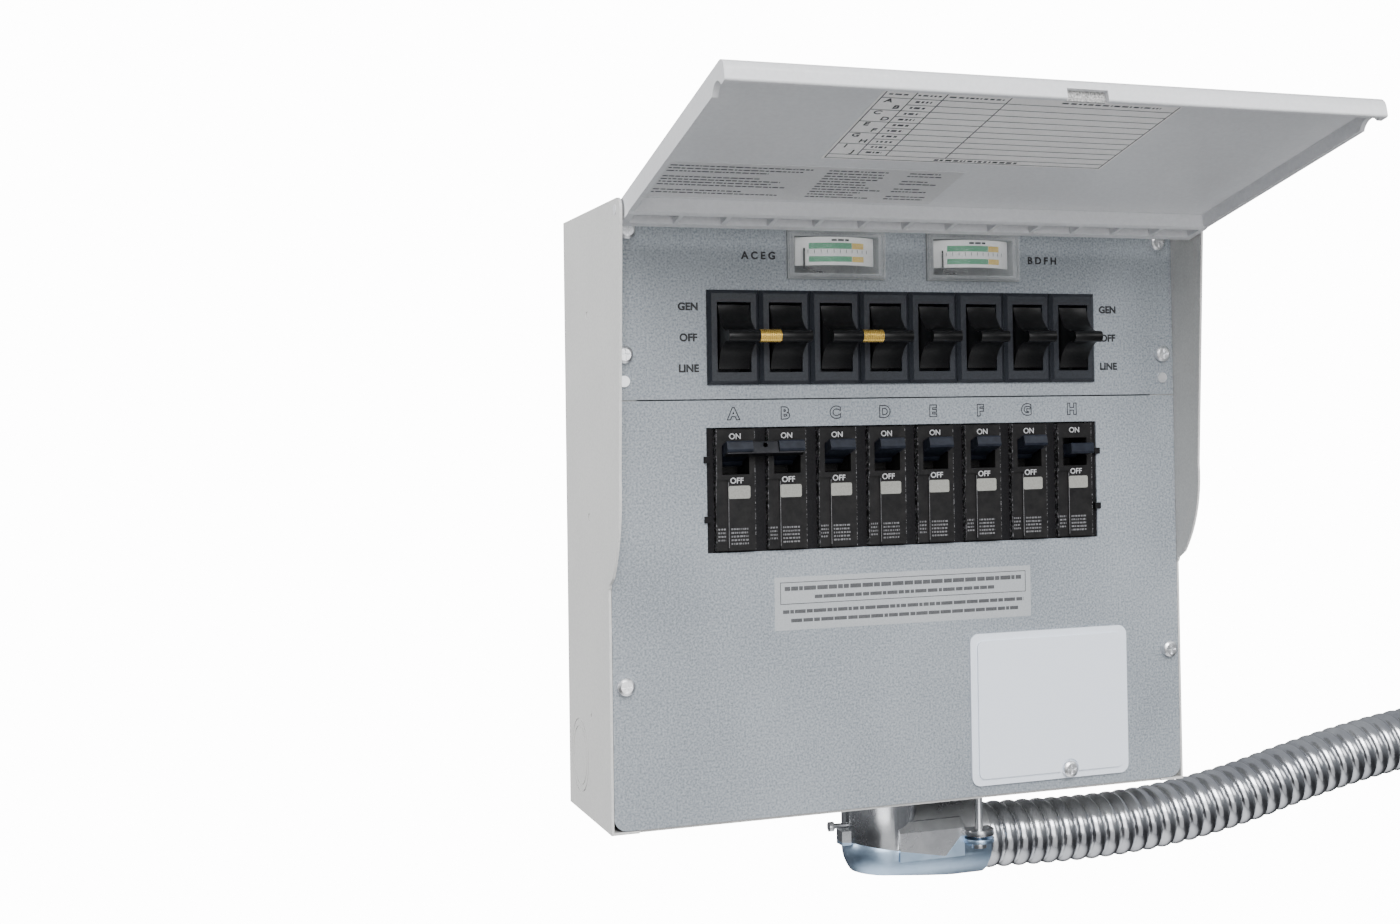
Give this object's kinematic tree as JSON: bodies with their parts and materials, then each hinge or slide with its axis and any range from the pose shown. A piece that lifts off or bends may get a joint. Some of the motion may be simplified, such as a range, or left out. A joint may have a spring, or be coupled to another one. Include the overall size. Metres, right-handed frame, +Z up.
{
  "type": "manual transfer switch",
  "caption": "Wall-mounted manual transfer switch: steel box with lift-up lid, rocker transfer switches, branch breakers, edgewise meters and a flexible conduit whip.",
  "frame": {"origin": "centre of the enclosure's back face, which lies on the wall", "axes": "+X to the right facing the box, +Y into the wall, +Z up; the front faces -Y"},
  "size_m": [0.6546, 0.2671, 0.367],
  "materials": {
    "box_paint": "satin",
    "face_paint": "satin",
    "lid_plastic": "satin",
    "label_film": "satin",
    "plate_plastic": "satin",
    "zinc_screw": "satin",
    "switch_plastic": "matte",
    "rocker_plastic": "satin",
    "tie_brass": "polished",
    "breaker_plastic": "matte",
    "handle_plastic": "satin",
    "clip_steel": "satin",
    "meter_plastic": "satin",
    "dial_white": "matte",
    "needle_red": "matte",
    "clear_cover": "clear",
    "bar_brass": "satin",
    "cast_zinc": "satin",
    "cap_zinc": "satin",
    "zinc_hardware": "satin",
    "conduit_steel": "polished",
    "fitting_zinc": "satin"
  },
  "bodies": {
    "box": {"enclosure": "box_paint", "switch_panel": "face_paint", "breaker_cover": "face_paint", "inlet_cover_plate": "plate_plastic", "cover_screws": "zinc_screw", "snap_rivets": "zinc_screw", "switch_body_a": "switch_plastic", "switch_body_b": "switch_plastic", "switch_body_c": "switch_plastic", "switch_body_d": "switch_plastic", "switch_body_e": "switch_plastic", "switch_body_f": "switch_plastic", "switch_body_g": "switch_plastic", "switch_body_h": "switch_plastic", "breaker_a": "breaker_plastic", "breaker_b": "breaker_plastic", "breaker_c": "breaker_plastic", "breaker_d": "breaker_plastic", "breaker_e": "breaker_plastic", "breaker_f": "breaker_plastic", "breaker_g": "breaker_plastic", "breaker_h": "breaker_plastic", "breaker_shroud": "breaker_plastic", "breaker_rail": "clip_steel", "meter_housings": "meter_plastic", "meter_dials": "dial_white", "meter_lenses": "clear_cover", "neutral_bar": "bar_brass", "ground_bar": "bar_brass", "connector_body": "cast_zinc", "connector_cap": "cap_zinc", "connector_screws": "zinc_hardware", "connector_locknut": "zinc_hardware", "conduit": "conduit_steel", "conduit_end_fitting": "fitting_zinc"},
    "lid": {"lid": "lid_plastic", "lid_directory_label": "label_film", "lid_rating_label": "label_film"},
    "rocker_pair_ab": {"rocker_a": "rocker_plastic", "rocker_b": "rocker_plastic", "rocker_tie_ab": "tie_brass"},
    "rocker_pair_cd": {"rocker_c": "rocker_plastic", "rocker_d": "rocker_plastic", "rocker_tie_cd": "tie_brass"},
    "rocker_e_lever": {"rocker_e": "rocker_plastic"},
    "rocker_f_lever": {"rocker_f": "rocker_plastic"},
    "rocker_g_lever": {"rocker_g": "rocker_plastic"},
    "rocker_h_lever": {"rocker_h": "rocker_plastic"},
    "handle_pair_ab": {"breaker_handle_a": "handle_plastic", "breaker_handle_b": "handle_plastic", "breaker_tie_ab": "clip_steel"},
    "handle_c_lever": {"breaker_handle_c": "handle_plastic"},
    "handle_d_lever": {"breaker_handle_d": "handle_plastic"},
    "handle_e_lever": {"breaker_handle_e": "handle_plastic"},
    "handle_f_lever": {"breaker_handle_f": "handle_plastic"},
    "handle_g_lever": {"breaker_handle_g": "handle_plastic"},
    "handle_h_lever": {"breaker_handle_h": "handle_plastic"},
    "needle_left": {"meter_needle_left": "needle_red"},
    "needle_right": {"meter_needle_right": "needle_red"}
  },
  "joints": [
    {"name": "lid_hinge", "type": "hinge", "parent": "box", "child": "lid", "pos_m": [0, -0.107, 0.1384], "axis": [1, 0, 0], "range_deg": [-6, 102.7]},
    {"name": "rocker_ab_turn", "type": "hinge", "parent": "box", "child": "rocker_pair_ab", "pos_m": [-0.0762, -0.0832, 0.08255], "axis": [1, 0, 0], "range_deg": [-18, 18]},
    {"name": "rocker_cd_turn", "type": "hinge", "parent": "box", "child": "rocker_pair_cd", "pos_m": [-0.0254, -0.0832, 0.08255], "axis": [1, 0, 0], "range_deg": [-18, 18]},
    {"name": "rocker_e_turn", "type": "hinge", "parent": "box", "child": "rocker_e_lever", "pos_m": [0.0127, -0.0832, 0.08255], "axis": [1, 0, 0], "range_deg": [-18, 18]},
    {"name": "rocker_f_turn", "type": "hinge", "parent": "box", "child": "rocker_f_lever", "pos_m": [0.0381, -0.0832, 0.08255], "axis": [1, 0, 0], "range_deg": [-18, 18]},
    {"name": "rocker_g_turn", "type": "hinge", "parent": "box", "child": "rocker_g_lever", "pos_m": [0.0635, -0.0832, 0.08255], "axis": [1, 0, 0], "range_deg": [-18, 18]},
    {"name": "rocker_h_turn", "type": "hinge", "parent": "box", "child": "rocker_h_lever", "pos_m": [0.0889, -0.0832, 0.08255], "axis": [1, 0, 0], "range_deg": [-18, 18]},
    {"name": "handle_ab_throw", "type": "hinge", "parent": "box", "child": "handle_pair_ab", "pos_m": [-0.0762, -0.076, 0.0255], "axis": [1, 0, 0], "range_deg": [0, 36]},
    {"name": "handle_c_throw", "type": "hinge", "parent": "box", "child": "handle_c_lever", "pos_m": [-0.0381, -0.076, 0.0255], "axis": [1, 0, 0], "range_deg": [0, 36]},
    {"name": "handle_d_throw", "type": "hinge", "parent": "box", "child": "handle_d_lever", "pos_m": [-0.0127, -0.076, 0.0255], "axis": [1, 0, 0], "range_deg": [0, 36]},
    {"name": "handle_e_throw", "type": "hinge", "parent": "box", "child": "handle_e_lever", "pos_m": [0.0127, -0.076, 0.0255], "axis": [1, 0, 0], "range_deg": [0, 36]},
    {"name": "handle_f_throw", "type": "hinge", "parent": "box", "child": "handle_f_lever", "pos_m": [0.0381, -0.076, 0.0255], "axis": [1, 0, 0], "range_deg": [0, 36]},
    {"name": "handle_g_throw", "type": "hinge", "parent": "box", "child": "handle_g_lever", "pos_m": [0.0635, -0.076, 0.0255], "axis": [1, 0, 0], "range_deg": [0, 36]},
    {"name": "handle_h_throw", "type": "hinge", "parent": "box", "child": "handle_h_lever", "pos_m": [0.0889, -0.076, 0.0255], "axis": [1, 0, 0], "range_deg": [-13, 23]},
    {"name": "needle_left_swing", "type": "hinge", "parent": "box", "child": "needle_left", "pos_m": [-0.0366, -0.062, 0.122], "axis": [0, 0, 1], "range_deg": [0, 66], "stiffness_Nm_per_rad": 0.00002},
    {"name": "needle_right_swing", "type": "hinge", "parent": "box", "child": "needle_right", "pos_m": [0.0352, -0.062, 0.122], "axis": [0, 0, 1], "range_deg": [0, 66], "stiffness_Nm_per_rad": 0.00002}
  ]
}
